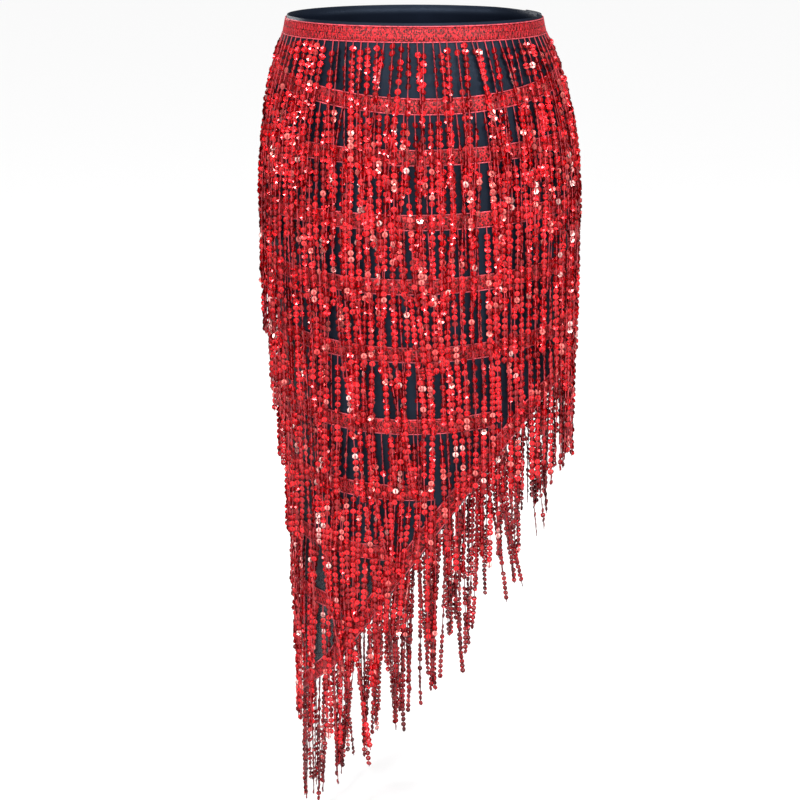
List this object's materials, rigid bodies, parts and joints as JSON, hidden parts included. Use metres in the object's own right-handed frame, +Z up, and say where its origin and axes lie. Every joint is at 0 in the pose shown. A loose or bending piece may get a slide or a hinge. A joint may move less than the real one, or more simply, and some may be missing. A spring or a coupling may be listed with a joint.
{
  "type": "belly dance hip scarf",
  "caption": "Long fitted hip wrap with a slanting hem, covered in rows of braid that each carry a hanging sequin fringe; worn round the waist and hips for dancing.",
  "frame": {"origin": "centre of the waist opening at the mid height of the waistband braid", "axes": "+Z up along the body, -Y to the wearer's front, +X to the wearer's left"},
  "size_m": [0.3556, 0.2559, 0.92],
  "materials": {
    "cloth": "soft satin sheen, nearly opaque navy black",
    "sequin_fringe": "glossy metallic red sequins on thin red threads under a glittering red braid",
    "braid": "glittering red braid with paler corded edges",
    "thread": "thin matt pink-red sewing thread"
  },
  "bodies": {
    "root": {"base_cloth": "cloth", "waistband_trim": "sequin_fringe", "fringe_row_1": "sequin_fringe", "fringe_row_2": "sequin_fringe", "fringe_row_3": "sequin_fringe", "fringe_row_4": "sequin_fringe", "fringe_row_5": "sequin_fringe", "fringe_row_6": "sequin_fringe", "fringe_row_7": "sequin_fringe", "fringe_row_8": "sequin_fringe", "fringe_row_9": "sequin_fringe", "hem_trim": "sequin_fringe"}
  },
  "joints": []
}
